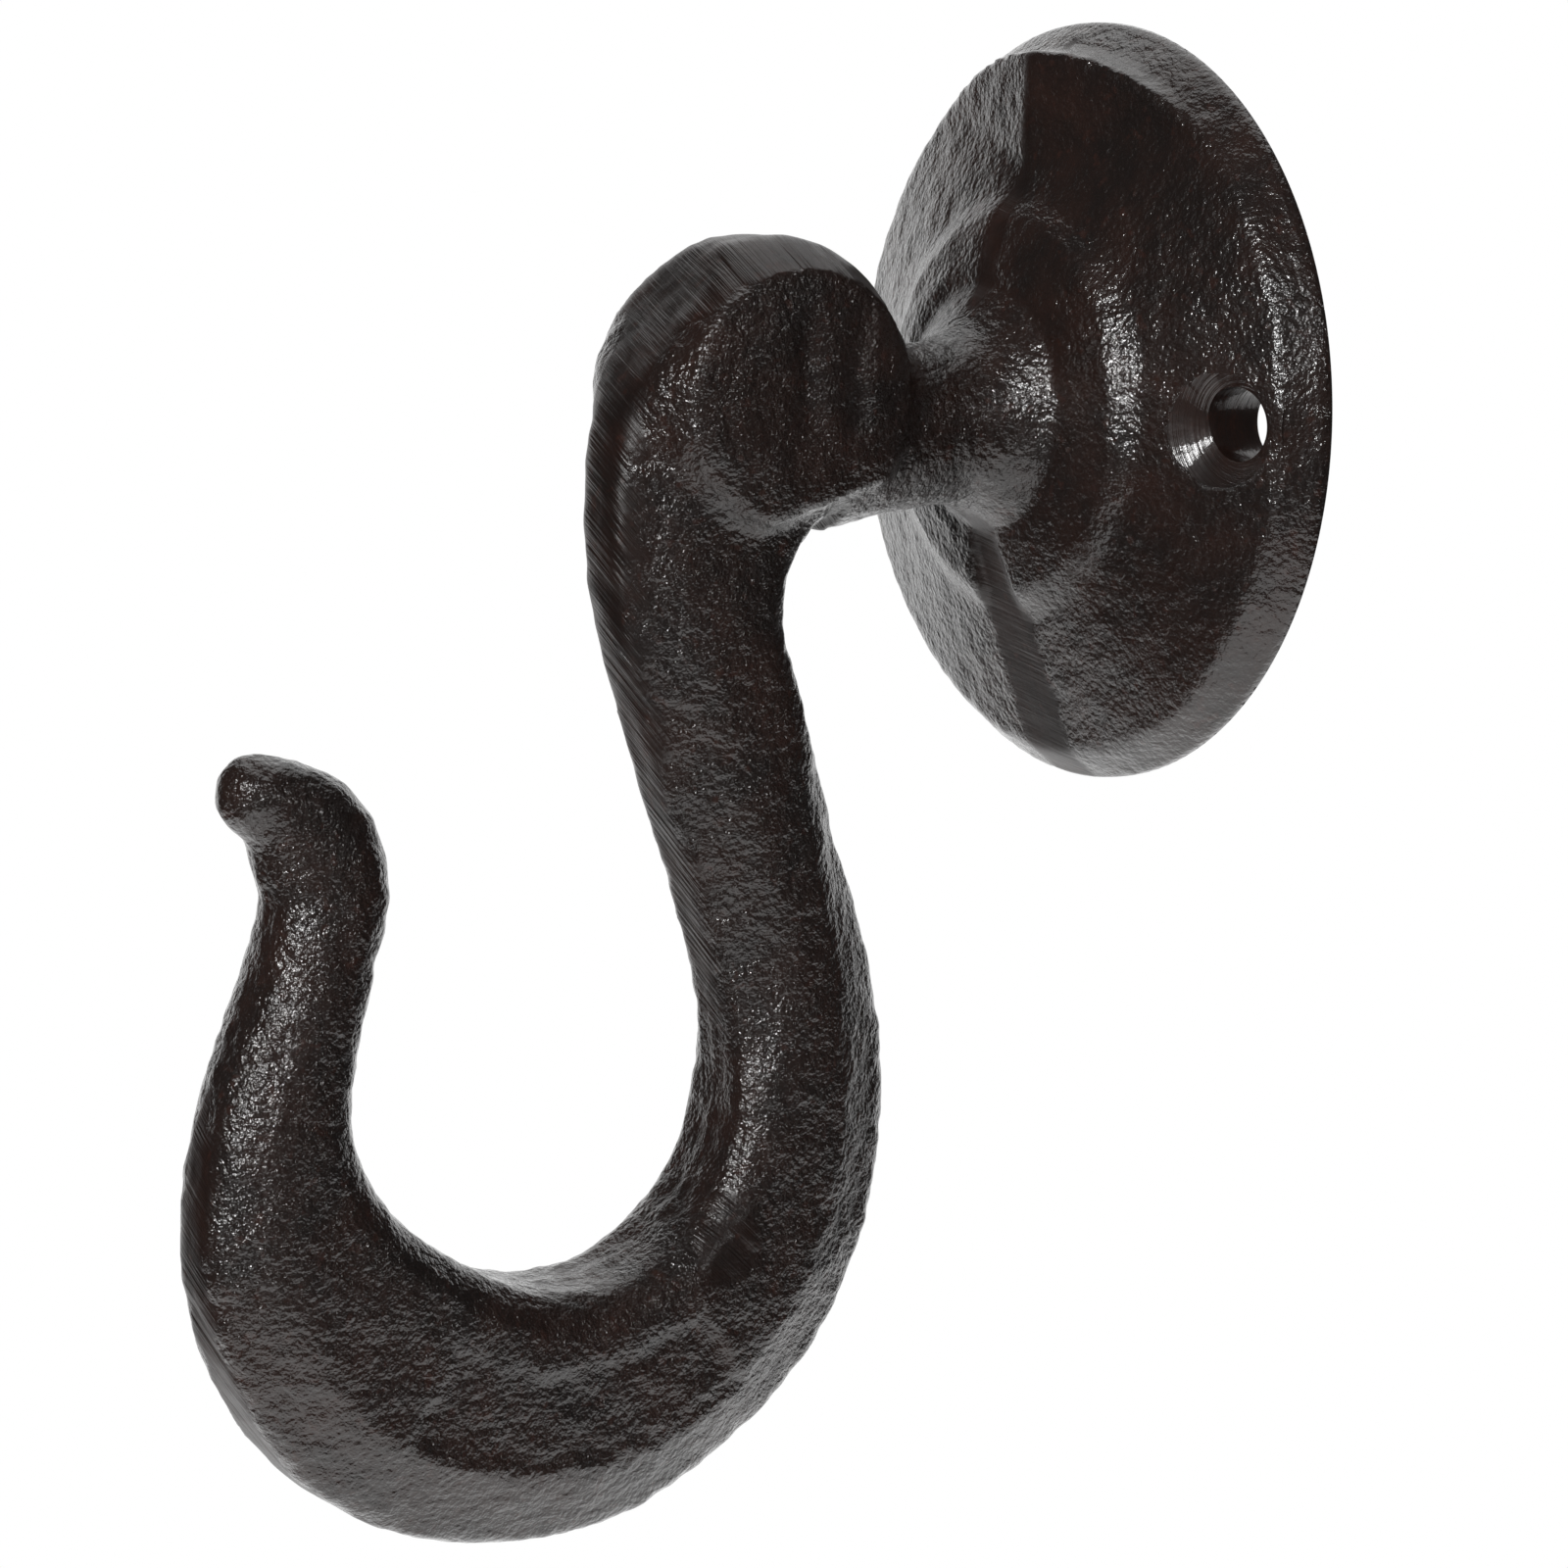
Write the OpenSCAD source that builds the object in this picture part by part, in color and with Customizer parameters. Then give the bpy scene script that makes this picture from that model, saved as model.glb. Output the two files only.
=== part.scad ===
/* [Wall plate] */
// diameter of the flat back of the plate
plate_d = 50; // [49:0.5:54]
// diameter of the front edge of the rim
plate_front_d = 46.6; // [45:0.2:48]
// thickness of the rim at its front edge
rim_t = 2.8; // [2.4:0.1:3.4]
// rise of the plate front per millimetre towards the centre
face_slope = 0.39; // [0.34:0.01:0.42]

/* [Plate ridge] */
// height of the upper ridge over the back of the plate
ridge_t = 5.9; // [5.4:0.1:6.8]
// distance from the centre to the upper end of the ridge
ridge_top_r = 23.2; // [22.6:0.1:23.8]
// fall of the ridge flanks per millimetre to the side
ridge_flank = 0.2; // [0.15:0.01:0.4]
// width of the strip filed flat down the lower half of the plate
strip_w = 4.6; // [2:0.2:7]
// width of the filed strip where it reaches the stem
strip_top_w = 2.2; // [1:0.2:3]

/* [Screw holes] */
// distance between the two screw holes
hole_spacing = 40; // [38:0.5:41]
// diameter of each screw hole
hole_d = 4.7; // [4:0.1:5.4]
// diameter of the countersink where it meets the plate front
sink_d = 7.6; // [6.4:0.1:8]
// full angle of the countersink
sink_angle = 135; // [100:5:140]

/* [Swell and stem] */
// radius of the foot of the swell
foot_r = 14; // [13.6:0.1:14.8]
// radius of the top edge of the swell
swell_r = 12.4; // [11.6:0.1:12.8]
// height of the top edge of the swell over the plate back
swell_t = 7.7; // [7.4:0.1:8.2]
// radius of the collar edge above the swell
collar_r = 9.2; // [8.6:0.1:10]
// height of the collar edge over the plate back
collar_t = 8.7; // [8.4:0.1:9.6]
// radius of the narrowest part of the stem
stem_r = 5.4; // [4.8:0.1:6]
// height of the narrowest part over the plate back
stem_t = 13.2; // [12.4:0.1:14]
// flare of the stem towards the collar
stem_flare = 2.8; // [1.6:0.1:3]
// flare of the stem towards the knuckle
stem_end_flare = 1; // [0.4:0.1:1.6]
// tilt of the stem below the level
stem_tilt = 4; // [2:0.5:6]

/* [Knuckle] */
// distance of the knuckle centre from the wall
knuckle_out = 26.7; // [25.6:0.1:28]
// height of the knuckle centre over the plate centre
knuckle_rise = 1.3; // [0:0.1:1.6]
// radius of the knuckle along its crest
knuckle_r = 10.1; // [9.8:0.1:11]
// width of the ground crest of the knuckle
crest_w = 5.2; // [3:0.2:7]
// radius of the flat cheeks of the knuckle
cheek_r = 8.1; // [7.4:0.1:8.8]
// distance between the two cheeks
cheek_w = 13.8; // [12.4:0.2:15]
// height of the flat crown over the edge of each cheek
crown_h = 0.5; // [0.2:0.1:0.8]
// radius of the flat crown on each cheek
crown_r = 5; // [3:0.1:6.5]
// depth of the ground flat at the upper front of the knuckle
flat_depth = 1.5; // [0.4:0.1:1.8]
// direction of the ground flat above the level
flat_angle = 36; // [26:1:42]
// depth of the underside cut below the knuckle centre
under_drop = 9.6; // [8.6:0.1:10.4]
// slope of the underside cut towards the wall
under_tilt = 17; // [10:1:20]
// slope of the underside cut towards each cheek
under_vee = 20; // [8:1:26]

/* [Hook line] */
// height at which the hook line starts inside the knuckle
line_rise = 0.7; // [0.2:0.1:1.2]
// heading of the hook line at the knuckle centre, 270 is straight down
start_heading = 221.2; // [214:0.2:226]
// radius of the bend below the knuckle
bend_r = 15.4; // [13.5:0.1:17]
// sweep of the bend below the knuckle
bend_sweep = 68.8; // [64:0.2:74]
// length of the straight neck
neck_len = 17.3; // [12:0.1:24]
// radius of the back arm
back_r = 31.2; // [24:0.2:40]
// sweep of the back arm
back_sweep = 24; // [15:0.5:32]
// radius of the bowl
bowl_r = 18.8; // [17:0.1:21]
// sweep of the bowl
bowl_sweep = 193; // [184:0.2:204]
// length of the straight front arm
arm_len = 8.8; // [5:0.1:13]
// radius of the tip curl
tip_r = 6.5; // [5.6:0.1:9]
// sweep of the tip curl
tip_sweep = 88; // [60:1:104]
// length of the rounded tip end
tip_round = 2.6; // [1.5:0.1:4]

/* [Section widths] */
// width at the knuckle centre, seen from the side
knuckle_w = 16.8; // [15:0.2:19]
// width at the top of the neck
neck_w = 10.7; // [9:0.1:12.4]
// width at the foot of the neck
neck_foot_w = 11; // [9:0.2:13]
// width at the foot of the back arm
back_w = 12.3; // [10:0.1:14]
// width at the bottom of the bowl
bowl_w = 17; // [14:0.1:19]
// width at the foot of the front arm
arm_foot_w = 8.2; // [7:0.1:10]
// width at the top of the front arm
arm_w = 7.2; // [6:0.1:9]
// width halfway round the tip curl
curl_w = 8; // [6.4:0.1:8.6]
// width at the end of the tip
tip_w = 5.2; // [4.4:0.2:7]

/* [Section thicknesses] */
// thickness of the neck from side to side
neck_t = 9.8; // [8:0.2:11.6]
// thickness of the bowl from side to side
bowl_t = 10.6; // [8.6:0.2:12.6]
// thickness of the front arm from side to side
arm_t = 8.6; // [7:0.2:10]
// thickness of the tip from side to side
tip_t = 5.8; // [5:0.2:8.4]

/* [Bevels] */
// front bevel of the neck, measured along the side
neck_front_bevel = 4.2; // [2:0.1:5]
// back bevel of the neck, measured along the side
neck_back_bevel = 1.5; // [0.8:0.1:3]
// bevel round the outside of the bowl
bowl_outer_bevel = 5.2; // [3:0.1:6]
// bevel round the inside of the bowl
bowl_inner_bevel = 1.9; // [0.8:0.1:3]
// outer bevel of the front arm and tip
arm_outer_bevel = 2.4; // [1:0.1:3]
// inner bevel of the front arm and tip
arm_inner_bevel = 2; // [1:0.1:3]
// share of the half thickness that a full bevel takes
bevel_share = 0.52; // [0.3:0.01:0.6]
// softening length at the corners of the neck and bowl
corner_soft = 1; // [0.3:0.1:1.5]
// softening length at the corners of the front arm
arm_soft = 2; // [0.8:0.1:2.4]

/* [Hidden] */

// facets of the turned faces
turn_fn = 96;
// facets of the screw holes
hole_fn = 64;
// length that takes a cutting tool past the whole part
reach = 300;
// thickness of the square edge at the back of the rim
rim_land = 0.6;
// height to which the countersink tool clears the plate front
sink_rise = 0.6;
// spacing of the sections along the hook line
section_gap = 1.7;
// steepest bevel, as a share of its length along the side
bevel_ratio = 0.9;
// share of the bend at which the crest has come down to the neck
crest_share = 0.9;
// share of the bowl sweep at which the bowl is widest
bowl_peak = 0.61;
// arcs and straights of the hook line as [radius, sweep] or [0, length]
segs = [
    [bend_r, bend_sweep], [0, neck_len], [back_r, -back_sweep],
    [bowl_r, -bowl_sweep], [0, arm_len], [tip_r, tip_sweep]
];
start = [-knuckle_out, line_rise, start_heading];

function seg_len(s) = s[0] == 0 ? s[1] : s[0] * abs(s[1]) * PI / 180;

// pose [y, z, heading] a share t along one segment
function walk(p, s, t) =
    s[0] == 0
        ? [p[0] + s[1] * t * cos(p[2]), p[1] + s[1] * t * sin(p[2]), p[2]]
        : let (d = sign(s[1]), h = p[2] + s[1] * t)
          [
              p[0] + d * s[0] * (sin(h) - sin(p[2])),
              p[1] - d * s[0] * (cos(h) - cos(p[2])),
              h
          ];

function seg_start(k) = k == 0 ? start : walk(seg_start(k - 1), segs[k - 1], 1);
function run_to(k) = k == 0 ? 0 : run_to(k - 1) + seg_len(segs[k - 1]);

starts = [for (k = [0:len(segs) - 1]) seg_start(k)];
runs = [for (k = [0:len(segs)]) run_to(k)];
peak_run = runs[3] + bowl_peak * (runs[4] - runs[3]);
curl_run = (runs[5] + runs[6]) / 2;

// smooth curve through the knots xs, ys
function slope_at(xs, ys, i) =
    let (n = len(xs) - 1)
    i == 0 ? (ys[1] - ys[0]) / (xs[1] - xs[0])
    : i == n ? (ys[n] - ys[n - 1]) / (xs[n] - xs[n - 1])
    : let (
        a = (ys[i] - ys[i - 1]) / (xs[i] - xs[i - 1]),
        b = (ys[i + 1] - ys[i]) / (xs[i + 1] - xs[i])
    )
    a * b <= 0 ? 0 : 2 * a * b / (a + b);
function knot(xs, x, i = 0) = i >= len(xs) - 2 || x <= xs[i + 1] ? i : knot(xs, x, i + 1);
function curve(xs, ys, x) =
    let (
        i = knot(xs, x),
        d = xs[i + 1] - xs[i],
        t = min(1, max(0, (x - xs[i]) / d)),
        m0 = slope_at(xs, ys, i) * d,
        m1 = slope_at(xs, ys, i + 1) * d
    )
    (2 * t ^ 3 - 3 * t ^ 2 + 1) * ys[i] + (t ^ 3 - 2 * t ^ 2 + t) * m0
    + (3 * t ^ 2 - 2 * t ^ 3) * ys[i + 1] + (t ^ 3 - t ^ 2) * m1;

function width_at(x) = curve(
    [runs[0], runs[1], runs[2], runs[3], peak_run, runs[4], runs[5], curl_run, runs[6]],
    [knuckle_w, neck_w, neck_foot_w, back_w, bowl_w, arm_foot_w, arm_w, curl_w, tip_w], x);
function thickness_at(x) = curve(
    [runs[0], runs[2], peak_run, runs[5], runs[6]],
    [neck_t, neck_t, bowl_t, arm_t, tip_t], x);
function lead_bevel(x) = curve(
    [runs[0], runs[2], runs[3], runs[4], runs[6]],
    [neck_front_bevel, neck_front_bevel, bowl_inner_bevel, arm_inner_bevel,
     arm_inner_bevel], x);
function trail_bevel(x) = curve(
    [runs[0], runs[1], runs[3], peak_run, runs[5], runs[6]],
    [neck_back_bevel, neck_back_bevel, bowl_outer_bevel, bowl_outer_bevel,
     arm_outer_bevel, arm_outer_bevel], x);

// extra width on the front side, so that the crest runs on into the knuckle
function lead_add(x) = curve(
    [runs[0], crest_share * runs[1], runs[2]], [knuckle_r - knuckle_w / 2, 0, 0], x);

// section outline as [across the hook line, side to side]
function corners(lead, trail, h, a, b) =
    let (
        ax = min(bevel_ratio * a, bevel_share * h),
        bx = min(bevel_ratio * b, bevel_share * h)
    )
    [
        [lead, h - ax], [lead - a, h], [b - trail, h], [-trail, h - bx],
        [-trail, bx - h], [b - trail, -h], [lead - a, -h], [lead, ax - h]
    ];
// each corner becomes four points of a soft round
function soften(c, soft) =
    let (n = len(c))
    [
        for (i = [0:n - 1])
            let (
                p = c[i], q = c[(i + n - 1) % n], r = c[(i + 1) % n],
                dq = norm(q - p), dr = norm(r - p),
                u = p + (q - p) / dq * min(soft, 0.48 * dq),
                v = p + (r - p) / dr * min(soft, 0.48 * dr)
            )
            each [u, (4 * u + 4 * p + v) / 9, (u + 4 * p + 4 * v) / 9, v]
    ];
function soft_at(x) = curve(
    [runs[0], peak_run, runs[5], runs[6]],
    [corner_soft, corner_soft, arm_soft, arm_soft], x);
function section(x, shrink = 1) =
    let (w = width_at(x) / 2, h = thickness_at(x) / 2)
    shrink * soften(corners(w + lead_add(x), w, h, lead_bevel(x), trail_bevel(x)), soft_at(x));
function place(pose, pts) = [
    for (p = pts)
        [p[1], pose[0] + p[0] * sin(pose[2]), pose[1] - p[0] * cos(pose[2])]
];

steps = [for (s = segs) ceil(seg_len(s) / section_gap)];
body_rings = [
    for (k = [0:len(segs) - 1])
        for (i = [0:steps[k] - 1])
            let (t = i / steps[k])
            place(walk(starts[k], segs[k], t), section(runs[k] + t * seg_len(segs[k])))
];
tip_pose = walk(starts[5], segs[5], 1);
// steps of the round over the tip end
tip_steps = 6;
tip_rings = [
    for (i = [0:tip_steps])
        let (a = min(88, 90 * i / tip_steps))
        place(
            walk(tip_pose, [0, tip_round], sin(a)),
            section(runs[6], cos(a)))
];
rings = concat(body_rings, tip_rings);

// closed skin over a list of rings with the same number of points
module skin(r) {
    n = len(r[0]);
    m = len(r);
    pts = [for (ring = r) each ring];
    walls = [
        for (i = [0:m - 2]) for (j = [0:n - 1])
            let (a = i * n + j, b = i * n + (j + 1) % n)
            each [[a, b, b + n], [a, b + n, a + n]]
    ];
    polyhedron(
        points = pts,
        faces = concat(
            walls,
            [[for (j = [n - 1:-1:0]) j]],
            [[for (j = [0:n - 1]) (m - 1) * n + j]]));
}

// solid turned about the wall normal, profile as [radius, distance from wall]
module turned(profile, fn = turn_fn) {
    rotate([90, 0, 0]) rotate_extrude($fn = fn) polygon(profile);
}

// edge cone that every solid of the plate stays inside
module rim_limit() {
    turned([
        [0, 0], [plate_d / 2, 0], [plate_d / 2, rim_land],
        [ridge_top_r, ridge_t], [ridge_top_r, collar_t + 1], [0, collar_t + 1]
    ]);
}

// upper ridge, its crest level with the wall
module upper_ridge() {
    half = ridge_t / ridge_flank;
    intersection() {
        rim_limit();
        linear_extrude(plate_d / 2)
            polygon([[-half, 0], [0, -ridge_t], [half, 0]]);
        turned([[0, 0], [plate_front_d / 2, 0], [plate_front_d / 2, rim_t],
            [ridge_top_r, rim_t], [ridge_top_r, ridge_t], [0, ridge_t]]);
    }
}

// cutter for the strip filed flat from the stem down to the rim
module filed_strip() {
    mid_r = (plate_front_d / 2 + foot_r) / 2;
    cut = face_slope * strip_w ^ 2 / (8 * mid_r);
    top = (plate_front_d / 2 - stem_r) / cos(atan(face_slope));
    foot = (plate_front_d / 2 - foot_r) / cos(atan(face_slope));
    translate([0, cut - rim_t, -plate_front_d / 2]) rotate([90 + atan(face_slope), 0, 0])
        linear_extrude(reach)
            polygon([
                [-strip_w, -strip_w], [strip_w, -strip_w], [strip_w / 2, foot],
                [strip_top_w / 2, top], [-strip_top_w / 2, top], [-strip_w / 2, foot]
            ]);
}

module plate_and_stem() {
    difference() {
        turned([
            [0, 0], [plate_d / 2, 0], [plate_d / 2, rim_land],
            [plate_front_d / 2, rim_t],
            [foot_r, rim_t + face_slope * (plate_front_d / 2 - foot_r)],
            [swell_r, swell_t], [collar_r, collar_t], [0, collar_t]
        ]);
        filed_strip();
    }
    upper_ridge();
    stem_end = knuckle_out - cheek_r / 2;
    rotate([stem_tilt, 0, 0]) turned([
        [0, rim_t], [stem_r + stem_flare, rim_t],
        for (k = [0:4]) [stem_r + stem_flare * (1 - k / 4) ^ 2, collar_t + k / 4 * (stem_t - collar_t)],
        for (k = [1:4]) [stem_r + stem_end_flare * (k / 4) ^ 2, stem_t + k / 4 * (stem_end - stem_t)],
        [0, stem_end]
    ]);
}

// straight bores, each with a countersink square to the sloping plate front
module screw_holes() {
    lean = atan(face_slope);
    front = rim_t + face_slope * (plate_front_d - hole_spacing) / 2;
    half = sink_angle / 2;
    depth = sink_d / 2 / tan(half);
    for (s = [-1, 1])
        translate([s * hole_spacing / 2, 0, 0]) {
            rotate([90, 0, 0]) translate([0, 0, -1]) cylinder(h = reach, d = hole_d, $fn = hole_fn);
            translate([0, -front, 0]) rotate([90, 0, s * lean]) translate([0, 0, -depth])
                cylinder(h = depth + sink_rise, r2 = (depth + sink_rise) * tan(half), r1 = 0, $fn = hole_fn);
        }
}

module knuckle() {
    h = cheek_w / 2;
    intersection() {
        translate([0, -knuckle_out, knuckle_rise]) rotate([0, 90, 0])
            rotate_extrude($fn = turn_fn)
                polygon([
                    [0, -h], [crown_r, -h], [cheek_r, crown_h - h],
                    [knuckle_r, -crest_w / 2], [knuckle_r, crest_w / 2],
                    [cheek_r, h - crown_h], [crown_r, h], [0, h]
                ]);
        translate([0, -knuckle_out, knuckle_rise - under_drop])
            rotate([under_tilt, 0, 0])
                rotate([90, 0, 0]) linear_extrude(reach, center = true)
                    polygon([
                        [0, 0], [reach, reach * tan(under_vee)], [0, 2 * reach],
                        [-reach, reach * tan(under_vee)]
                    ]);
    }
}

// cutter for the flat ground on the upper front of the knuckle
module ground_flat() {
    translate([0, -knuckle_out, knuckle_rise]) rotate([-flat_angle, 0, 0])
        translate([-knuckle_r, flat_depth - 2 * knuckle_r, -knuckle_r])
            cube([2 * knuckle_r, knuckle_r, 2 * knuckle_r]);
}

module hook() {
    color([0.16, 0.12, 0.11]) {
        difference() {
            plate_and_stem();
            screw_holes();
        }
        difference() {
            union() {
                knuckle();
                skin(rings);
            }
            ground_flat();
        }
    }
}

hook();
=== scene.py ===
import math
import bmesh
import bpy
from mathutils import Matrix, Vector, noise


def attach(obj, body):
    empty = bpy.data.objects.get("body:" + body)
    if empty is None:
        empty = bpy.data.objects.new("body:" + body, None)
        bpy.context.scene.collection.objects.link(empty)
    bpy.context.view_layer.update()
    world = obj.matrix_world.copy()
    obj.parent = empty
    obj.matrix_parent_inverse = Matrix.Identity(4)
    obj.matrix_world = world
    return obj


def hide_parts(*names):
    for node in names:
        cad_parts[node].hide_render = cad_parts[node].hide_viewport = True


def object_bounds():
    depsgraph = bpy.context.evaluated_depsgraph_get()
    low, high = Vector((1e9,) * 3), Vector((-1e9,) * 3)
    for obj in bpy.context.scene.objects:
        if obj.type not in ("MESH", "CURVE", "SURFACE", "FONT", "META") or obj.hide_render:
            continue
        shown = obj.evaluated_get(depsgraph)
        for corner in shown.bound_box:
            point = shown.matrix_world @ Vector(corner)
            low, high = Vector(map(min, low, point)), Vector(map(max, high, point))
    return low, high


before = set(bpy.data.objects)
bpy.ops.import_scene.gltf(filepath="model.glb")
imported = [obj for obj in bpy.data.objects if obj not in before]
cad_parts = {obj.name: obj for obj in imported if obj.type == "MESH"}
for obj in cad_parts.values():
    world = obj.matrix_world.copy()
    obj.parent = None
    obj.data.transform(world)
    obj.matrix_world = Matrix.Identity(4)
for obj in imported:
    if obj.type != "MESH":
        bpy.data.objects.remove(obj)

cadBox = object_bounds()
mm = 0.001


def toLinear(hexCode):
    # sRGB hex to linear colour
    channels = [int(hexCode[i:i + 2], 16) / 255 for i in (1, 3, 5)]
    return tuple(c / 12.92 if c < 0.04045 else ((c + 0.055) / 1.055) ** 2.4 for c in channels) + (1,)


def addNode(tree, kind, settings=None, **links):
    # settings: lower case names are properties, capitals and numbers are sockets
    # links: socket names with _ for a space, or i and the socket's number; a node stands for its first output
    node = tree.nodes.new(kind)
    for name, value in (settings or {}).items():
        if isinstance(name, str) and name[0].islower():
            setattr(node, name, value)
        else:
            node.inputs[name].default_value = value
    for name, source in links.items():
        key = int(name[1:]) if name[0] == "i" and name[1:].isdigit() else name.replace("_", " ")
        output = source.outputs[0] if isinstance(source, bpy.types.Node) else source
        tree.links.new(output, node.inputs[key])
    return node


def smoothStep(low, high, x):
    # 0 at low, 1 at high and smooth between them; low may be the larger one
    t = min(1, max(0, (x - low) / (high - low)))
    return t * t * (3 - 2 * t)


# the camera stands in front of the plate, to its right and a little above
# lens, sensor and place in mm, angles in degrees, nearest and farthest in m
camera = {"lens": 101.25, "sensor": 36, "azimuth": 57.269, "elevation": 8.729, "roll": 0.718,
          "place": (236.85, -176.21, 19.25), "nearest": 0.01, "farthest": 20}


def makeCamera():
    data = bpy.data.cameras.new("camera")
    data.lens = camera["lens"]
    data.sensor_width = camera["sensor"]
    data.clip_start = camera["nearest"]
    data.clip_end = camera["farthest"]
    obj = bpy.data.objects.new("camera", data)
    turn = (Matrix.Rotation(math.radians(camera["azimuth"]), 4, "Z")
            @ Matrix.Rotation(math.radians(90 - camera["elevation"]), 4, "X")
            @ Matrix.Rotation(math.radians(camera["roll"]), 4, "Z"))
    obj.matrix_world = Matrix.Translation(Vector(camera["place"]) * mm) @ turn
    bpy.context.scene.collection.objects.link(obj)
    bpy.context.scene.camera = obj


makeCamera()
print("camera placed")

# the casting follows the CAD solid and only its skin is worked here; lengths in mm
# Fade, Facing and End pairs say where a smooth step starts and ends
# Soft pairs say how far an edge fades inwards and outwards
casting = {
    # remesh, smoothing, and the cast fillets round the stem
    "mergeGap": 0.002, "voxel": 0.37, "flatBack": 0.2, "smoothPasses": 3, "crestPasses": 24,
    "fillPasses": 16, "fillX": (-15, 15), "fillY": (-34, -9), "fillZ": (-15, 15),
    # edge and slope of the plate, as in the CAD
    "backRadius": 25, "rimLand": 0.6, "rimFall": 0.773, "rimFrom": 23.6, "rimReach": 0.6, "slope": 0.39,
    # screw holes and their countersinks, which were drilled a little off centre
    "holeAt": 20, "holeRadius": 2.35, "boreDepth": 24, "sinkRadius": 3.8, "sinkDepth": 1.574,
    "sinkPlane": 4.09, "sinkShift": (-0.8, -0.45), "sinkOver": 0.6, "plugSides": 64, "cutSides": 72,
    "boreSkin": 0.03, "sinkSkin": 0.04, "holeReach": 8, "sharpReach": 4.6,
    "sharpAngle": 0.45,      # radians
    # relief of the sand mould in three sizes, fading out at the wall
    "waveSize": 8, "waveHeight": 0.2, "waveFade": (-2, 12), "lumpSize": 2.6, "lumpHeight": 0.1,
    "sandSize": 1.1, "sandHeight": 0.12, "sink": 0.06, "backFade": (0.05, 1.2),
    # the hook is rougher than the plate, and ground skin is the smoothest
    "hookFade": (8, 14), "plateSand": 0.6, "filedSand": 0.3,
    "plateGrain": 0.75, "hookGrain": 1.08, "filedGrain": 0.12,
    # where the hook begins, and the centres (y, z) of its knuckle and bowl
    "hookStart": -15, "knuckleAt": (-26.7, 1.3), "bowlAt": (-41.6, -42.5),
    # ragged edges of what was ground, as pairs of height and size
    "ragged": ((0.9, 1.8), (0.4, 0.7)),
    # crest ground over the knuckle; angles in degrees from its front upwards
    "crestHalf": 3.2, "crestSpan": (-4, 150), "crestInside": 8, "crestEnd": (150, 138), "crestWiden": 3.1,
    "crestWidenFade": (26, 46), "crestSoft": 0.8, "crestCrisp": 0.7, "crestCrispFade": (20, 46),
    # and down the front of the neck
    "neckTop": 5, "neckLow": -42, "neckFront": -48, "neckNarrow": 1.4, "neckNarrowFade": (-2, -38),
    "neckFacing": (0.35, 0.6), "neckEnd": (-41, -36), "neckSoft": (0.8, 0.7), "neckRagged": 2,
    # corners of that crest which were ground round
    "roundFrom": -17, "roundTop": 1, "roundRing": (8.2, 12), "roundLow": -20, "roundOut": 4.5,
    # band ground along the outer edge of the bowl
    "bandHalf": 1.7, "bandOut": -6, "bandTop": -24, "bandFade": (-38, -46), "bandFacing": (0.3, 0.7),
    "bandSoft": (0.2, 0.3),
    # scored patch on the flank of the bowl
    "scratchAt": (-30.8, -52.1), "scratchSize": (2.6, 3.0), "scratchFade": (0.5, 1.1), "scratchShare": 0.75,
    "scratchRagged": 0.8, "scratchTop": -46, "scratchFront": -36, "scratchRun": 0.7, "flankFrom": 3,
    # strips ground on the plate, above and below the swell
    "ridgeSpan": (6.5, 24), "ridgeHalf": 0.8, "ridgeNarrow": 0.35, "ridgeFade": (16, 13),
    "ridgeFacing": (0.1, 0.4), "ridgeSoft": (0.2, 0.3), "stripTop": -5.5, "stripTopHalf": 1.1,
    "stripHalf": 2.3, "stripFade": (5.4, 14), "stripFacing": (0.3, 0.6), "stripSoft": (0.15, 0.25),
    "plateRagged": 0.5,
    # tool marks: direction across them, their height in the outline, and where they are fainter
    "markAcross": (0.338, 0.704, 0.621), "markLean": 0.2, "markRise": 0.09, "markRiseGap": 0.9,
    "markRiseLength": 6, "markMean": 0.75, "markPatch": 0.7, "markPatchSize": 2.2,
    "plateMarks": 0.2, "bowlMarks": 0.5, "bowlTop": -43,
    # shrinkage grooves down the cheeks of the knuckle, which are not quite alike
    "cheekFacing": 0.75, "grooveAt": (-27, -23.4), "grooveDepth": 0.36, "grooveWidth": 0.95,
    "grooveBend": 0.04, "grooveMiddle": 2.5, "grooveWobble": 0.3, "wobbleSize": 3,
    "grooveLow": (-2.2, 0.4), "grooveHigh": (7.6, 5), "farGroove": 0.9,
    # plain worn panel on the flank of the bowl; its turn and half length in degrees round the bowl
    "panelDepth": 0.28, "panelTop": -50, "panelRadius": 19.8, "panelHalf": 3.1, "panelTurn": 90,
    "panelHalfTurn": 32, "panelPerDegree": 0.35, "panelRagged": 0.5, "panelRaggedSize": 2,
    "panelFade": (-0.7, 0.5),
    # what is left of the mould seam
    "seamHeight": 0.12, "seamWidth": 0.4, "seamMean": 0.7, "seamFacing": 0.6,
}


def inBand(x, half, inner, outer):
    # 1 inside the half width of a band; the fade reaches inner mm in and outer mm out of its edge
    return 1 - smoothStep(half - inner, half + outer, x)


def fromKnuckle(p):
    # how far out towards the room and how far up from the knuckle's centre
    return casting["knuckleAt"][0] - p.y, p.z - casting["knuckleAt"][1]


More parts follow.
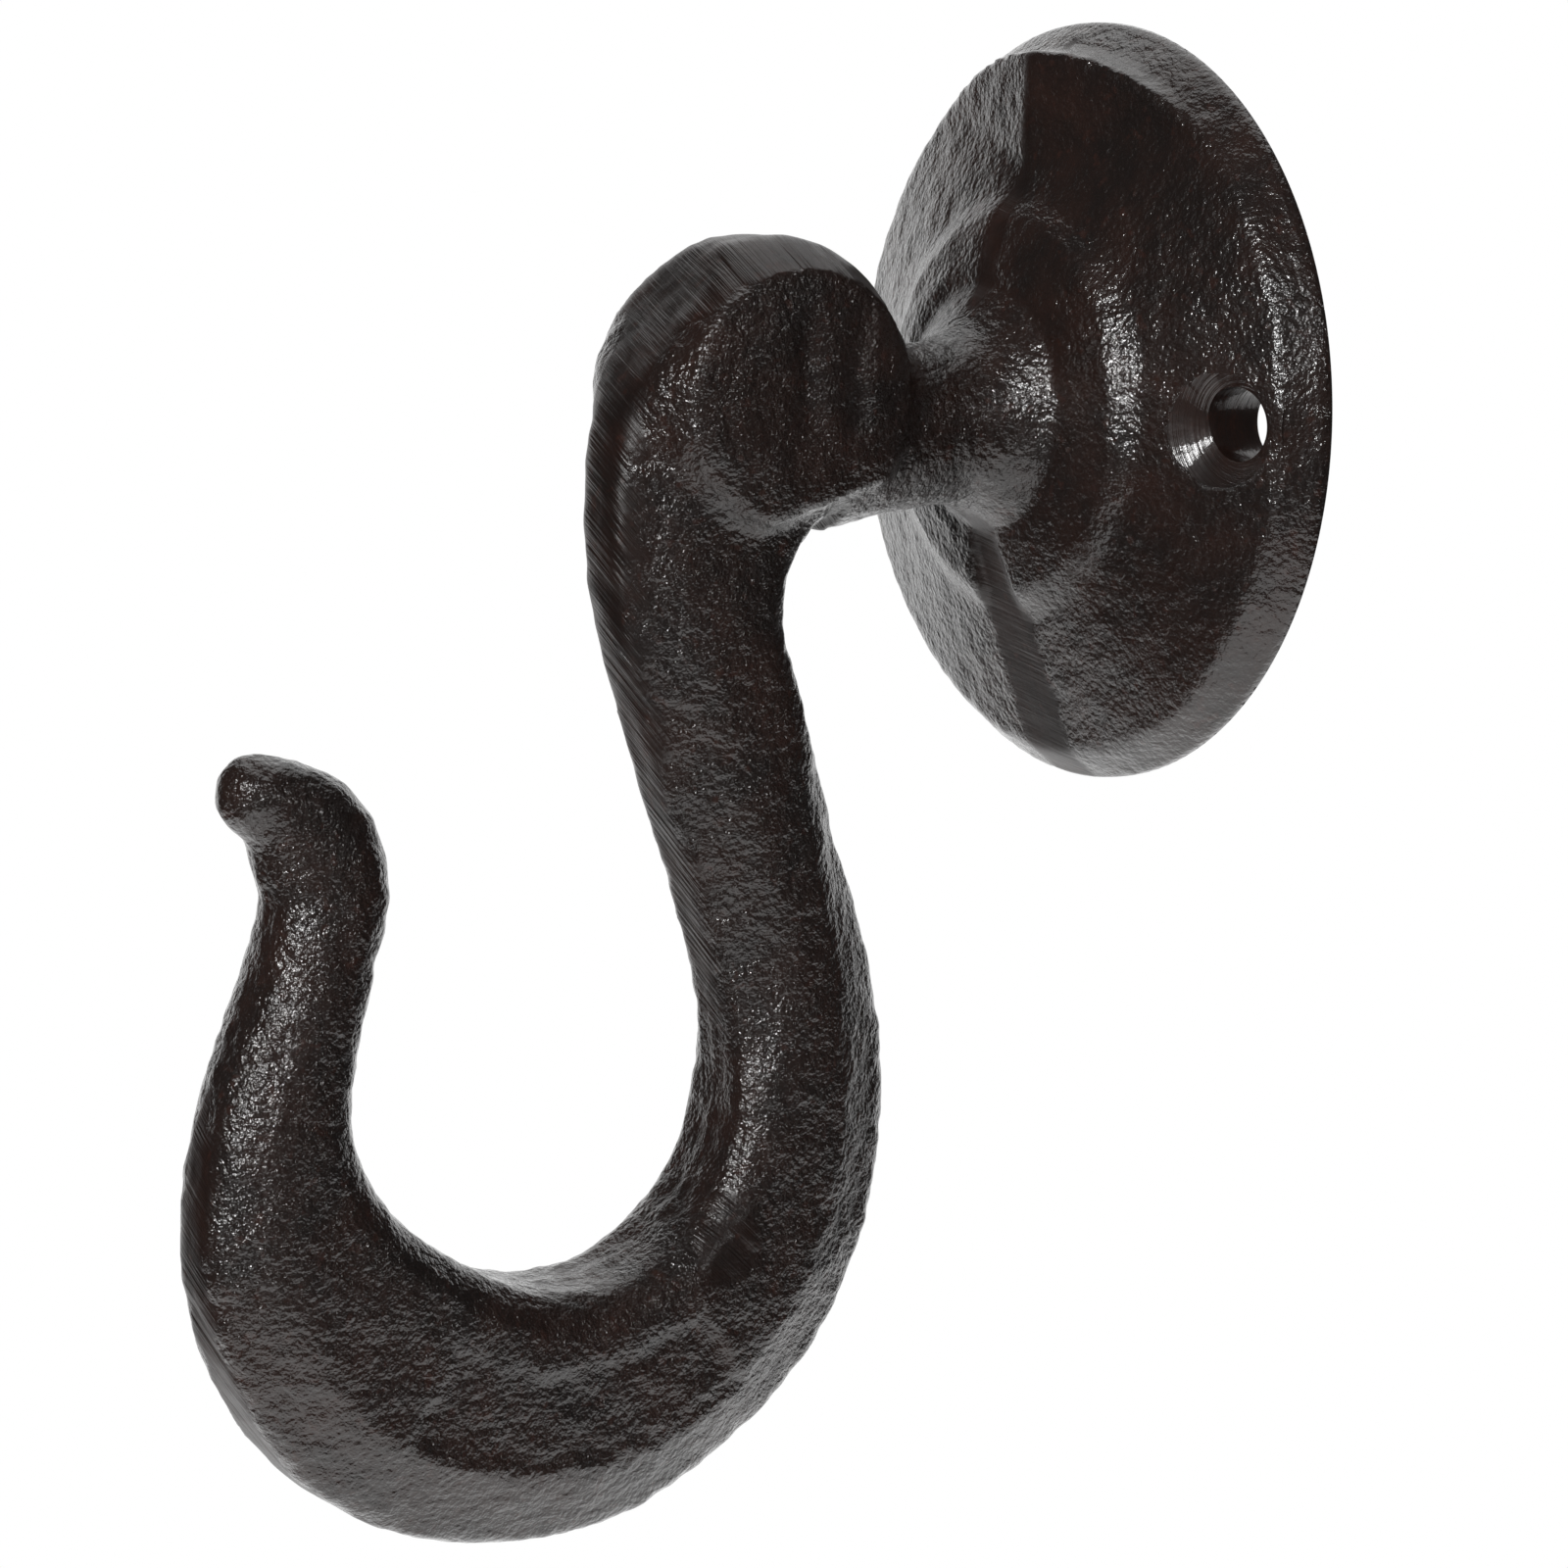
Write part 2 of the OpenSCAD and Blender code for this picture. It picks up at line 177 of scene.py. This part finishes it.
def filedHook(p, n, ragged):
    x, y, z = abs(p.x), p.y, p.z
    out, up = fromKnuckle(p)
    angle = math.degrees(math.atan2(up, out))
    first, last = casting["crestSpan"]
    if first < angle < last and math.hypot(out, up) > casting["crestInside"]:      # top of the knuckle
        half = casting["crestHalf"] + casting["crestWiden"] * smoothStep(*casting["crestWidenFade"], angle)
        crisp = 1 - casting["crestCrisp"] * smoothStep(*casting["crestCrispFade"], angle)
        soft = casting["crestSoft"] * crisp      # the edge is crisp only on top
        return inBand(x + ragged, half, soft, soft) * smoothStep(*casting["crestEnd"], angle)
    onNeck = up < casting["neckTop"] and z > casting["neckLow"] and y > casting["neckFront"]
    if onNeck and n.y < 0:      # down the front of the neck
        half = casting["crestHalf"] - casting["neckNarrow"] * smoothStep(*casting["neckNarrowFade"], z)
        facing = smoothStep(*casting["neckFacing"], -n.y)
        front = facing * smoothStep(*casting["neckEnd"], z + casting["neckRagged"] * ragged)
        return inBand(x + ragged, half, *casting["neckSoft"]) * front
    away = Vector((0, y - casting["bowlAt"][0], z - casting["bowlAt"][1]))
    if away.y < casting["bandOut"] and z < casting["bandTop"]:      # outer edge of the bowl and the front arm
        half = casting["bandHalf"] * smoothStep(*casting["bandFade"], z)
        facing = smoothStep(*casting["bandFacing"], away.normalized().dot(n))
        return inBand(x + ragged, half, *casting["bandSoft"]) * facing
    if p.x > casting["flankFrom"]:      # scored patch
        side = ((y - casting["scratchAt"][0]) / casting["scratchSize"][0]) ** 2
        side += ((z - casting["scratchAt"][1]) / casting["scratchSize"][1]) ** 2
        side += casting["scratchRagged"] * ragged
        return casting["scratchShare"] * (1 - smoothStep(*casting["scratchFade"], side))
    return 0


def filedPlate(p, n, ragged):
    x, z = abs(p.x) + casting["plateRagged"] * ragged, p.z
    low, high = casting["ridgeSpan"]
    if low < z < high:      # narrow strip on the upper ridge
        narrow = casting["ridgeNarrow"]
        half = casting["ridgeHalf"] * (narrow + (1 - narrow) * smoothStep(*casting["ridgeFade"], z))
        return inBand(x, half, *casting["ridgeSoft"]) * smoothStep(*casting["ridgeFacing"], -n.y)
    if z < casting["stripTop"]:      # strip filed flat on the lower half
        widen = casting["stripHalf"] - casting["stripTopHalf"]
        half = casting["stripTopHalf"] + widen * smoothStep(*casting["stripFade"], -z)
        return inBand(x, half, *casting["stripSoft"]) * smoothStep(*casting["stripFacing"], -n.y)
    return 0


def filedShare(p, n):
    # 1 where the mould seam was ground off after casting, 0 on the bare casting
    ragged = sum(height * noise.noise(p / size) for height, size in casting["ragged"])
    return filedHook(p, n, ragged) if p.y < casting["hookStart"] else filedPlate(p, n, ragged)


def turnedShare(p):
    # 1 in the drilled bores and their countersinks
    away = Vector((abs(p.x) - casting["holeAt"], -p.y, p.z))
    if away.y > casting["holeReach"]:
        return 0
    if math.hypot(away.x, away.z) < casting["holeRadius"] + casting["boreSkin"]:
        return 1
    axis = Vector((casting["slope"], 1, 0)).normalized()
    shift = casting["sinkShift"]
    away -= Vector((shift[0], casting["sinkPlane"] - shift[0] * casting["slope"], shift[1]))
    height = away.dot(axis)
    radius = (away - axis * height).length
    tool = casting["sinkRadius"] * (1 + height / casting["sinkDepth"])
    return 1 if abs(radius - tool) < casting["sinkSkin"] and height < casting["sinkOver"] else 0


def overCrest(p):
    # the top of the knuckle and the front of the neck, whose corners were ground round
    out, up = fromKnuckle(p)
    near, far = casting["roundRing"]
    onTop = up > casting["roundTop"] and near < math.hypot(out, up) < far
    onNeck = casting["roundLow"] < up <= casting["roundTop"] and out > casting["roundOut"]
    return p.y < casting["roundFrom"] and (onTop or onNeck)


def markRun(p, turned):
    # distance in mm across the tool marks
    x, y, z = p
    if turned:
        return math.hypot(abs(x) - casting["holeAt"], z) - y
    if y > casting["hookStart"]:
        return z + casting["markLean"] * x
    if x > casting["flankFrom"] and z < casting["scratchTop"] and y > casting["scratchFront"]:
        return (y + z) * casting["scratchRun"]
    return p.dot(Vector(casting["markAcross"]))


def shapedRise(p, n):
    # height in mm of the casting's own small forms over the CAD solid
    rise = 0
    x, y, z = p
    if y >= casting["hookStart"]:
        return rise
    if abs(n.x) > casting["cheekFacing"]:
        offset = 0 if x > 0 else casting["farGroove"]
        bend = casting["grooveBend"] * (z - casting["grooveMiddle"]) ** 2
        wobble = casting["grooveWobble"] * noise.noise(p / casting["wobbleSize"])
        ends = smoothStep(*casting["grooveLow"], z) * smoothStep(*casting["grooveHigh"], z)
        for middle in casting["grooveAt"]:
            across = (y + offset - middle - bend + wobble) / casting["grooveWidth"]
            rise -= casting["grooveDepth"] * math.exp(-across ** 2) * ends
        if x > 0 and z < casting["panelTop"]:
            away = Vector((y - casting["bowlAt"][0], z - casting["bowlAt"][1]))
            turn = math.degrees(math.atan2(-away.y, away.x)) - casting["panelTurn"]
            side = abs(away.length - casting["panelRadius"]) - casting["panelHalf"]
            end = (abs(turn) - casting["panelHalfTurn"]) * casting["panelPerDegree"]
            edge = max(side, end) + casting["panelRagged"] * noise.noise(p / casting["panelRaggedSize"])
            rise -= casting["panelDepth"] * (1 - smoothStep(*casting["panelFade"], edge))
    elif abs(n.x) < casting["seamFacing"]:
        broken = casting["seamMean"] + noise.noise(p / casting["wobbleSize"])
        rise += casting["seamHeight"] * math.exp(-(x / casting["seamWidth"]) ** 2) * broken
    return rise


def applied(obj):
    # the mesh that the object's modifiers give; the modifiers are taken off
    graph = bpy.context.evaluated_depsgraph_get()
    mesh = bpy.data.meshes.new_from_object(obj.evaluated_get(graph))
    obj.modifiers.clear()
    return mesh


def plugHoles(bm):
    # plugs close the screw holes while the skin is worked
    turn = Matrix.Rotation(math.radians(90), 4, "X")
    for side in (-1, 1):
        middle = Vector((side * casting["holeAt"], -casting["sinkPlane"] / 2, 0)) * mm
        plug = bmesh.ops.create_cone(bm, cap_ends=True, segments=casting["plugSides"],
                                     radius1=casting["sinkRadius"] * mm, radius2=casting["sinkRadius"] * mm,
                                     depth=casting["sinkPlane"] * mm,
                                     matrix=Matrix.Translation(middle) @ turn)["verts"]
        for v in plug:      # its top follows the slope of the plate
            if v.co.y < -mm:
                v.co.y += (abs(v.co.x) - casting["holeAt"] * mm) * casting["slope"]


def smoothVerts(bm, verts):
    bmesh.ops.smooth_vert(bm, verts=verts, factor=0.5, use_axis_x=True, use_axis_y=True, use_axis_z=True)


def roundRim(bm):
    # the edge of the plate is set to a true circle, which the voxels and the smoothing disturb
    for v in bm.verts:
        radius = math.hypot(v.co.x, v.co.z) / mm
        true = casting["backRadius"] - casting["rimFall"] * max(0, -v.co.y / mm - casting["rimLand"])
        if radius > casting["rimFrom"] and abs(radius - true) < casting["rimReach"]:
            v.co.x *= true / radius
            v.co.z *= true / radius


def fillJoint(bm, verts):
    # the inner corners round the stem fill up as cast fillets, and nothing there sinks
    spans = [casting["fillX"], casting["fillY"], casting["fillZ"]]
    joint = [v for v in verts if all(low < c / mm < high for c, (low, high) in zip(v.co, spans))]
    for i in range(casting["fillPasses"]):
        bm.normal_update()
        before = [(v, v.co.copy(), v.normal.copy()) for v in joint]
        smoothVerts(bm, joint)
        for v, place, normal in before:
            if (v.co - place).dot(normal) < 0:
                v.co = place


def raiseSkin(bm):
    # relief of the sand mould and of the tools, kept inside the box of the CAD solid
    low, high = cadBox
    bm.normal_update()
    for v in bm.verts:
        p = v.co / mm
        n = v.normal.copy()
        filed = filedShare(p, n)
        onHook = smoothStep(*casting["hookFade"], -p.y)
        fade = smoothStep(*casting["waveFade"], -p.y)
        wave = noise.noise(p / casting["waveSize"]) * casting["waveHeight"] * fade
        # the offsets keep the three layers from repeating each other
        lump = noise.noise(p / casting["lumpSize"] + Vector((7, 3, 1))) * casting["lumpHeight"]
        sand = noise.noise(p / casting["sandSize"] + Vector((2, 9, 5))) * casting["sandHeight"]
        back = smoothStep(*casting["backFade"], -p.y)
        skin = 1 - (1 - casting["filedSand"]) * filed
        skin *= casting["plateSand"] + (1 - casting["plateSand"]) * onHook
        rise = (wave + (lump + sand) * skin - casting["sink"]) * back
        rise += shapedRise(p, n) * (1 - filed)
        if p.y < casting["hookStart"]:      # the deepest tool marks show in the outline
            lineAt = Vector((markRun(p, 0) / casting["markRiseGap"], p.x / casting["markRiseLength"], 0))
            rise += filed * casting["markRise"] * noise.noise(lineAt)
        v.co += n * rise * mm
        v.co = Vector([min(high[i], max(low[i], v.co[i])) for i in range(3)])


def cutHoles(obj):
    # bores and countersinks are cut after the skin is worked, so that their edges stay crisp
    turn = Matrix.Rotation(math.radians(-90), 4, "X")      # the wide end faces the room
    shift, over, depth = casting["sinkShift"], casting["sinkOver"], casting["sinkDepth"]
    wide = casting["sinkRadius"] + over * casting["sinkRadius"] / depth      # the tool starts over the face
    for side in (-1, 1):
        lean = Matrix.Rotation(math.atan(casting["slope"]) * side, 4, "Z")
        mouth = Vector((side * (casting["holeAt"] + shift[0]),
                        -casting["sinkPlane"] + shift[0] * casting["slope"], shift[1])) * mm
        sinkAt = Matrix.Translation(mouth) @ lean @ Matrix.Translation((0, (depth - over) / 2 * mm, 0))
        boreAt = Matrix.Translation((side * casting["holeAt"] * mm, 0, 0))
        bore = (casting["holeRadius"], casting["holeRadius"], casting["boreDepth"], boreAt)
        sink = (wide, 0, depth + over, sinkAt)
        for nearRadius, farRadius, length, place in (bore, sink):
            bm = bmesh.new()
            bmesh.ops.create_cone(bm, cap_ends=True, cap_tris=False, segments=casting["cutSides"],
                                  radius1=nearRadius * mm, radius2=farRadius * mm, depth=length * mm,
                                  matrix=place @ turn)
            mesh = bpy.data.meshes.new("cutter")
            bm.to_mesh(mesh)
            bm.free()
            cutter = bpy.data.objects.new("cutter", mesh)
            bpy.context.scene.collection.objects.link(cutter)
            cut = obj.modifiers.new("cut", "BOOLEAN")
            cut.operation = "DIFFERENCE"
            cut.solver = "MANIFOLD"
            cut.object = cutter
            obj.data = applied(obj)
            bpy.data.objects.remove(cutter)


def skinValues(bm):
    # what the paint follows at each point: how much the skin is ground, turned, marked and grainy,
    # and the distance across its tool marks
    values = {"filed": [], "turned": [], "marked": [], "grainy": [], "markRun": []}
    for v in bm.verts:
        p = v.co / mm
        turned = turnedShare(p)
        filed = filedShare(p, v.normal) * (1 - turned)
        patchy = casting["markMean"] + casting["markPatch"] * noise.noise(p / casting["markPatchSize"])
        onHook = smoothStep(*casting["hookFade"], -p.y)
        grain = casting["plateGrain"] + onHook * (casting["hookGrain"] - casting["plateGrain"])
        strength = 1
        if p.y > casting["hookStart"]:
            strength = casting["plateMarks"]
        elif p.z < casting["bowlTop"]:
            strength = casting["bowlMarks"]
        values["filed"].append(filed)
        values["turned"].append(turned)
        values["marked"].append(filed * patchy * strength)
        values["grainy"].append((1 - (1 - casting["filedGrain"]) * max(filed, turned)) * grain)
        values["markRun"].append(markRun(p, turned))
    return values


def makeCasting():
    bm = bmesh.new()
    bm.from_mesh(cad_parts["hook"].data)
    bmesh.ops.remove_doubles(bm, verts=bm.verts, dist=casting["mergeGap"] * mm)
    plugHoles(bm)
    mesh = bpy.data.meshes.new("castHook")
    bm.to_mesh(mesh)
    bm.free()
    obj = bpy.data.objects.new("castHook", mesh)
    bpy.context.scene.collection.objects.link(obj)
    skin = obj.modifiers.new("skin", "REMESH")
    skin.mode = "VOXEL"
    skin.voxel_size = casting["voxel"] * mm
    dense = applied(obj)

    bm = bmesh.new()
    bm.from_mesh(dense)
    loose = [v for v in bm.verts if v.co.y < -casting["flatBack"] * mm]
    crest = [v for v in loose if overCrest(v.co / mm)]
    for group, passes in ((loose, casting["smoothPasses"]), (crest, casting["crestPasses"])):
        for i in range(passes):
            smoothVerts(bm, group)
    roundRim(bm)
    fillJoint(bm, loose)
    raiseSkin(bm)
    bm.to_mesh(obj.data)
    bm.free()
    cutHoles(obj)

    bm = bmesh.new()
    bm.from_mesh(obj.data)
    bm.normal_update()
    values = skinValues(bm)
    for edge in bm.edges:      # the rims of the holes stay sharp, all else is smooth
        x, y, z = edge.verts[0].co / mm
        nearHole = math.hypot(abs(x) - casting["holeAt"], z) < casting["sharpReach"]
        onPlate = y > -casting["holeReach"]
        edge.smooth = not (nearHole and onPlate and edge.calc_face_angle(0) > casting["sharpAngle"])
    for face in bm.faces:
        face.smooth = True
    bm.to_mesh(obj.data)
    bm.free()
    for name, numbers in values.items():
        obj.data.attributes.new(name, "FLOAT", "POINT").data.foreach_set("value", numbers)
    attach(obj, "root")
    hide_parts("hook")
    print("casting has", sum(len(f.vertices) - 2 for f in obj.data.polygons), "triangles")
    return obj


# painted sand-cast iron: a brown-black gloss paint over the grain of the sand mould, so that it looks near
# black face on, grey where it is seen aslant, and breaks every lamp into sparks; where the seam was ground
# off, the gloss is thinner and lies over fine parallel marks. Sizes and heights in mm.
paint = {
    "dark": "#1a110e", "brown": "#2c1a14", "rust": "#43251c",
    "patchSize": 6.0, "patchFade": (0.4, 0.68),
    "fleckSize": 0.9, "fleckFade": (0.62, 0.72), "fleckShare": 0.35,
    "roughness": 0.4, "ior": 1.36, "coatIor": 1.5, "coat": 0.95, "filedCoat": 0.3,
    "coatRoughness": 0.07, "filedRoughness": 0.3,
    "grainSize": 0.36, "grainHeight": 0.08, "lumpSize": 0.48, "lumpHeight": 0.08,
    "fineSize": 0.17, "fineHeight": 0.06,
    "markGap": 0.25,      # real marks lie 0.2 mm apart, drawn coarser to show
    "markLength": 10, "markHeight": 0.17, "ringHeight": 0.05,
    "scoreGap": 0.9, "scoreDepth": 0.06, "scoreFade": (0.56, 0.66),
}


def makePaint():
    material = bpy.data.materials.new("paintedSandCastIron")
    material.use_nodes = True
    tree = material.node_tree
    tree.nodes.clear()
    place = addNode(tree, "ShaderNodeTexCoord").outputs["Object"]
    perMm = addNode(tree, "ShaderNodeVectorMath", {"operation": "SCALE", "Scale": 1 / mm}, i0=place)
    filed, turned, marked, grainy, run = [
        addNode(tree, "ShaderNodeAttribute", {"attribute_name": name}).outputs["Fac"]
        for name in ("filed", "turned", "marked", "grainy", "markRun")]

    # colour: brown patches in the black, and a few rusty flecks
    patch = addNode(tree, "ShaderNodeTexNoise", {"Scale": 1 / paint["patchSize"], "Detail": 5,
                    "Roughness": 0.7}, Vector=perMm)
    low, high = paint["patchFade"]
    tone = addNode(tree, "ShaderNodeMapRange", {"From Min": low, "From Max": high}, Value=patch)
    body = addNode(tree, "ShaderNodeMix", {"data_type": "RGBA", 6: toLinear(paint["dark"]),
                   7: toLinear(paint["brown"])}, i0=tone).outputs[2]
    speck = addNode(tree, "ShaderNodeTexNoise", {"Scale": 1 / paint["fleckSize"], "Detail": 2}, Vector=perMm)
    low, high = paint["fleckFade"]
    fleck = addNode(tree, "ShaderNodeMapRange", {"From Min": low, "From Max": high,
                    "To Max": paint["fleckShare"]}, Value=speck)
    body = addNode(tree, "ShaderNodeMix", {"data_type": "RGBA", 7: toLinear(paint["rust"])},
                   i0=fleck, i6=body).outputs[2]

    # relief of the bare casting: round grains of sand from the cells, with two sizes of noise over them
    grain = addNode(tree, "ShaderNodeTexNoise", {"Scale": 1 / paint["grainSize"], "Detail": 2,
                    "Roughness": 0.5}, Vector=perMm)
    cells = addNode(tree, "ShaderNodeTexVoronoi", {"feature": "SMOOTH_F1", "Scale": 1 / paint["lumpSize"],
                    "Smoothness": 0.4}, Vector=perMm)
    fine = addNode(tree, "ShaderNodeTexNoise", {"Scale": 1 / paint["fineSize"], "Detail": 1}, Vector=perMm)
    relief = addNode(tree, "ShaderNodeMath", {"operation": "MULTIPLY", 1: paint["grainHeight"]}, i0=grain)
    for layer, layerHeight in ((cells, -paint["lumpHeight"]), (fine, paint["fineHeight"])):
        relief = addNode(tree, "ShaderNodeMath", {"operation": "MULTIPLY_ADD", 1: layerHeight},
                         i0=layer, i2=relief)
    relief = addNode(tree, "ShaderNodeMath", {"operation": "MULTIPLY"}, i0=relief, i1=grainy)

    # ground and turned marks: a noise drawn out along the marks, with a few deeper scores
    parts = addNode(tree, "ShaderNodeSeparateXYZ", Vector=perMm)
    along = addNode(tree, "ShaderNodeMath", {"operation": "MULTIPLY", 1: 1 / paint["markLength"]}, i0=parts)
    across = addNode(tree, "ShaderNodeMath", {"operation": "MULTIPLY", 1: 1 / paint["markGap"]}, i0=run)
    lineAt = addNode(tree, "ShaderNodeCombineXYZ", X=across, Y=along)
    marks = addNode(tree, "ShaderNodeTexNoise", {"noise_dimensions": "2D", "Scale": 1, "Detail": 2,
                    "Roughness": 0.7}, Vector=lineAt)
    deep = addNode(tree, "ShaderNodeTexNoise", {"noise_dimensions": "2D", "Detail": 1,
                   "Scale": paint["markGap"] / paint["scoreGap"]}, Vector=lineAt)
    low, high = paint["scoreFade"]
    score = addNode(tree, "ShaderNodeMapRange", {"From Min": low, "From Max": high,
                    "To Max": -paint["scoreDepth"] / paint["markHeight"]}, Value=deep)
    marks = addNode(tree, "ShaderNodeMath", {"operation": "ADD"}, i0=marks, i1=score)
    ringed = addNode(tree, "ShaderNodeMath", {"operation": "MULTIPLY", 1: paint["ringHeight"]}, i0=turned)
    ground = addNode(tree, "ShaderNodeMath", {"operation": "MULTIPLY_ADD", 1: paint["markHeight"]},
                     i0=marked, i2=ringed)
    height = addNode(tree, "ShaderNodeMath", {"operation": "MULTIPLY_ADD"}, i0=marks, i1=ground, i2=relief)
    bump = addNode(tree, "ShaderNodeBump", {"Strength": 1, "Distance": mm}, Height=height)

    gloss = addNode(tree, "ShaderNodeMapRange", {"To Min": paint["coat"], "To Max": paint["filedCoat"]},
                    Value=filed)
    dull = addNode(tree, "ShaderNodeMapRange", {"To Min": paint["coatRoughness"],
                   "To Max": paint["filedRoughness"]}, Value=filed)
    shader = addNode(tree, "ShaderNodeBsdfPrincipled", {"Roughness": paint["roughness"], "IOR": paint["ior"],
                     "Coat IOR": paint["coatIor"]},
                     Base_Color=body, Normal=bump, Coat_Normal=bump, Coat_Roughness=dull, Coat_Weight=gloss)
    addNode(tree, "ShaderNodeOutputMaterial", Surface=shader)
    return material


castHook = makeCasting()
castHook.data.materials.clear()
castHook.data.materials.append(makePaint())
print("casting painted")

# pale floor well below the hook, and surroundings that look white to the camera; for light and reflections
# they are white only behind the hook and dark on every other side
# floorDrop in mm, floorSize in m, darkFrom and darkTo as cosines from darkSide
studio = {"floorDrop": 150, "floorSize": 0.52, "floorTone": "#f2f2f2", "floorGlow": 0.8,
          "darkSide": (0.82, -0.53, 0.2), "darkFrom": -0.85, "darkTo": -0.58,
          "darkTone": 0.05, "lightTone": 1.0}


def makeFloor():
    bpy.ops.mesh.primitive_plane_add(size=studio["floorSize"],
                                     location=(0, 0, cadBox[0].z - studio["floorDrop"] * mm))
    floor = bpy.context.object
    floor.name = "floor"
    material = bpy.data.materials.new("palePaper")
    material.use_nodes = True
    tree = material.node_tree
    tree.nodes.clear()
    path = addNode(tree, "ShaderNodeLightPath").outputs
    matte = addNode(tree, "ShaderNodeBsdfDiffuse", {"Color": toLinear(studio["floorTone"])})
    seen = path["Is Camera Ray"]      # it glows only where it is looked at or mirrored
    for ray in ("Is Glossy Ray", "Is Transmission Ray"):
        seen = addNode(tree, "ShaderNodeMath", {"operation": "MAXIMUM"}, i0=seen, i1=path[ray])
    glow = addNode(tree, "ShaderNodeMath", {"operation": "MULTIPLY", 1: studio["floorGlow"]}, i0=seen)
    lit = addNode(tree, "ShaderNodeEmission", {"Color": (1, 1, 1, 1)}, Strength=glow)
    both = addNode(tree, "ShaderNodeAddShader", i0=matte, i1=lit)
    addNode(tree, "ShaderNodeOutputMaterial", Surface=both)
    floor.data.materials.append(material)


def makeWorld():
    world = bpy.data.worlds.new("studio")
    bpy.context.scene.world = world
    world.use_nodes = True
    tree = world.node_tree
    tree.nodes.clear()
    path = addNode(tree, "ShaderNodeLightPath").outputs
    toward = addNode(tree, "ShaderNodeTexCoord").outputs["Generated"]
    side = addNode(tree, "ShaderNodeVectorMath", {"operation": "DOT_PRODUCT", 1: studio["darkSide"]},
                   i0=toward).outputs["Value"]
    fall = addNode(tree, "ShaderNodeMapRange", {"interpolation_type": "SMOOTHSTEP",
                   "From Min": studio["darkFrom"], "From Max": studio["darkTo"],
                   "To Min": studio["lightTone"], "To Max": studio["darkTone"]}, Value=side)
    level = addNode(tree, "ShaderNodeMath", {"operation": "MAXIMUM"}, i0=fall, i1=path["Is Camera Ray"])
    back = addNode(tree, "ShaderNodeBackground", {"Color": (1, 1, 1, 1)}, Strength=level)
    addNode(tree, "ShaderNodeOutputWorld", Surface=back)


# toward is the way from the middle of the hook to the lamp; distance and size in m
lamps = {
    "leftSoftbox": {"toward": (0.4, -0.86, 0.28), "distance": 0.7, "size": 0.12, "radiance": 58},
    "frontLamp": {"toward": (0.62, -0.6, 0.36), "distance": 0.8, "size": 0.07, "radiance": 34},
    "rightLamp": {"toward": (0.95, 0.1, 0.35), "distance": 0.8, "size": 0.06, "radiance": 56},
    "topSoftbox": {"toward": (-0.3, 0.25, 0.9), "distance": 0.8, "size": 0.8, "radiance": 1.1},
}


def makeLamps():
    middle = (cadBox[0] + cadBox[1]) / 2
    for name, lamp in lamps.items():
        data = bpy.data.lights.new(name, "AREA")
        data.shape = "SQUARE"
        data.size = lamp["size"]
        data.energy = lamp["radiance"] * math.pi * lamp["size"] ** 2
        obj = bpy.data.objects.new(name, data)
        toward = Vector(lamp["toward"]).normalized()
        obj.location = middle + toward * lamp["distance"]
        obj.rotation_euler = toward.to_track_quat("Z", "Y").to_euler()
        obj.visible_camera = False
        bpy.context.scene.collection.objects.link(obj)


makeFloor()
makeWorld()
makeLamps()
bpy.context.scene.view_settings.view_transform = "Standard"
print("stage and lamps set")
